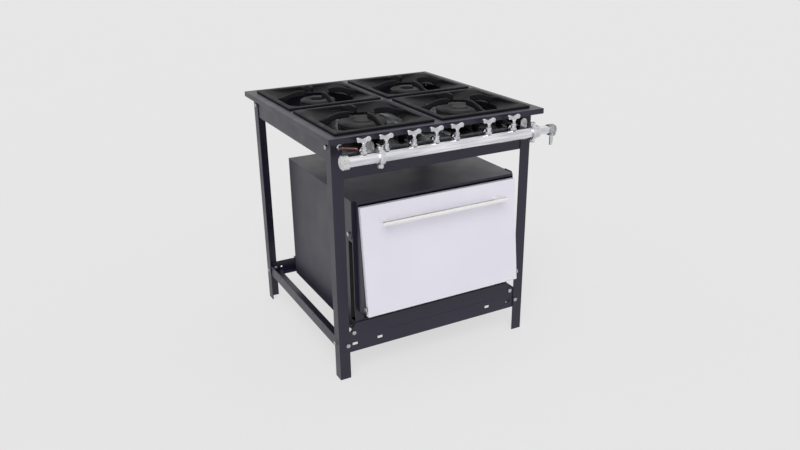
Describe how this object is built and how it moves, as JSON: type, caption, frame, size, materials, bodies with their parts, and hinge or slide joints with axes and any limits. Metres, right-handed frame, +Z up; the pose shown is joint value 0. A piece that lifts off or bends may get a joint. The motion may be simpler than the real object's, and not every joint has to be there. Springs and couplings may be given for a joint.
{
  "type": "range cooker",
  "caption": "Free-standing gas range on an open angle-iron stand, with square cast grates, a front supply pipe with butterfly taps and a slung oven with a white drop-down door.",
  "frame": {"origin": "middle of the footprint, on the floor", "axes": "+Z up, the front with the taps and the door faces -Y, +X to the right hand of a cook facing the front"},
  "size_m": [0.77, 0.7994, 0.824],
  "materials": {
    "frame_paint": "semi-gloss",
    "black_iron": "matt black",
    "plain_steel": "satin",
    "dark_steel": "matt",
    "chrome": "polished",
    "chromed_brass": "polished",
    "galvanised": "dull",
    "zinc": "bright zinc",
    "copper": "dull",
    "mineral_wool": "fibrous",
    "white_enamel": "gloss"
  },
  "bodies": {
    "stand": {"leg_front_left": "frame_paint", "leg_front_right": "frame_paint", "leg_rear_left": "frame_paint", "leg_rear_right": "frame_paint", "top_frame": "frame_paint", "apron_left": "frame_paint", "apron_right": "frame_paint", "apron_rear": "frame_paint", "front_rail": "frame_paint", "lower_rail_left": "frame_paint", "lower_rail_right": "frame_paint", "lower_rail_rear": "frame_paint", "front_plate": "frame_paint", "oven_bearers": "frame_paint", "bolts": "zinc", "burner_bars": "dark_steel", "drip_pan": "plain_steel", "burner_front_left": "black_iron", "burner_front_right": "black_iron", "burner_rear_left": "black_iron", "burner_rear_right": "black_iron", "supply_pipe": "chrome", "pipe_cap": "chrome", "pipe_reducer": "chrome", "inlet_nipple": "chrome", "inlet_elbow": "galvanised", "hose_tail": "chromed_brass", "pipe_brackets": "chrome", "tap_bodies": "chromed_brass", "injectors": "chromed_brass", "feed_tubes": "chrome", "oven_gas_line": "copper", "oven_casing": "frame_paint", "oven_lining": "plain_steel", "rack_runners": "plain_steel", "oven_insulation": "mineral_wool", "oven_front": "frame_paint", "oven_floor": "plain_steel", "oven_burner": "dark_steel", "hinge_pins": "zinc"},
    "oven_door": {"door_panel": "white_enamel", "door_liner": "plain_steel", "door_handle": "chrome"},
    "rack": {"oven_rack": "plain_steel"},
    "tap_1": {"tap_handle_1": "chromed_brass"},
    "tap_2": {"tap_handle_2": "chromed_brass"},
    "tap_3": {"tap_handle_3": "chromed_brass"},
    "tap_4": {"tap_handle_4": "chromed_brass"},
    "tap_5": {"tap_handle_5": "chromed_brass"},
    "tap_6": {"tap_handle_6": "chromed_brass"},
    "tap_7": {"tap_handle_7": "chromed_brass"},
    "grate_body_front_left": {"grate_front_left": "black_iron"},
    "grate_body_front_right": {"grate_front_right": "black_iron"},
    "grate_body_rear_left": {"grate_rear_left": "black_iron"},
    "grate_body_rear_right": {"grate_rear_right": "black_iron"},
    "cap_body_front_left": {"burner_cap_front_left": "black_iron"},
    "cap_body_front_right": {"burner_cap_front_right": "black_iron"},
    "cap_body_rear_left": {"burner_cap_rear_left": "black_iron"},
    "cap_body_rear_right": {"burner_cap_rear_right": "black_iron"}
  },
  "joints": [
    {"name": "door_hinge", "type": "hinge", "parent": "stand", "child": "oven_door", "pos_m": [-0.015, -0.36616, 0.25903], "axis": [1, 0, 0], "range_deg": [0, 97]},
    {"name": "rack_slide", "type": "slide", "parent": "stand", "child": "rack", "axis": [0, -1, 0], "range_m": [0, 0.05]},
    {"name": "tap_1_turn", "type": "hinge", "parent": "stand", "child": "tap_1", "pos_m": [-0.291, -0.37725, 0.775], "axis": [0, 0, 1], "range_deg": [0, 90]},
    {"name": "tap_2_turn", "type": "hinge", "parent": "stand", "child": "tap_2", "pos_m": [-0.221, -0.37725, 0.775], "axis": [0, 0, 1], "range_deg": [0, 90]},
    {"name": "tap_3_turn", "type": "hinge", "parent": "stand", "child": "tap_3", "pos_m": [-0.131, -0.37725, 0.775], "axis": [0, 0, 1], "range_deg": [0, 90]},
    {"name": "tap_4_turn", "type": "hinge", "parent": "stand", "child": "tap_4", "pos_m": [-0.056, -0.37725, 0.775], "axis": [0, 0, 1], "range_deg": [0, 90]},
    {"name": "tap_5_turn", "type": "hinge", "parent": "stand", "child": "tap_5", "pos_m": [0.014, -0.37725, 0.775], "axis": [0, 0, 1], "range_deg": [0, 90]},
    {"name": "tap_6_turn", "type": "hinge", "parent": "stand", "child": "tap_6", "pos_m": [0.127, -0.37725, 0.775], "axis": [0, 0, 1], "range_deg": [0, 90]},
    {"name": "tap_7_turn", "type": "hinge", "parent": "stand", "child": "tap_7", "pos_m": [0.219, -0.37725, 0.775], "axis": [0, 0, 1], "range_deg": [0, 90]},
    {"name": "grate_lift_front_left", "type": "slide", "parent": "stand", "child": "grate_body_front_left", "axis": [0, 0, 1], "range_m": [0, 0.12]},
    {"name": "grate_lift_front_right", "type": "slide", "parent": "stand", "child": "grate_body_front_right", "axis": [0, 0, 1], "range_m": [0, 0.12]},
    {"name": "grate_lift_rear_left", "type": "slide", "parent": "stand", "child": "grate_body_rear_left", "axis": [0, 0, 1], "range_m": [0, 0.12]},
    {"name": "grate_lift_rear_right", "type": "slide", "parent": "stand", "child": "grate_body_rear_right", "axis": [0, 0, 1], "range_m": [0, 0.12]},
    {"name": "cap_lift_front_left", "type": "slide", "parent": "stand", "child": "cap_body_front_left", "axis": [0, 0, 1], "range_m": [0, 0.012]},
    {"name": "cap_lift_front_right", "type": "slide", "parent": "stand", "child": "cap_body_front_right", "axis": [0, 0, 1], "range_m": [0, 0.012]},
    {"name": "cap_lift_rear_left", "type": "slide", "parent": "stand", "child": "cap_body_rear_left", "axis": [0, 0, 1], "range_m": [0, 0.012]},
    {"name": "cap_lift_rear_right", "type": "slide", "parent": "stand", "child": "cap_body_rear_right", "axis": [0, 0, 1], "range_m": [0, 0.012]}
  ]
}
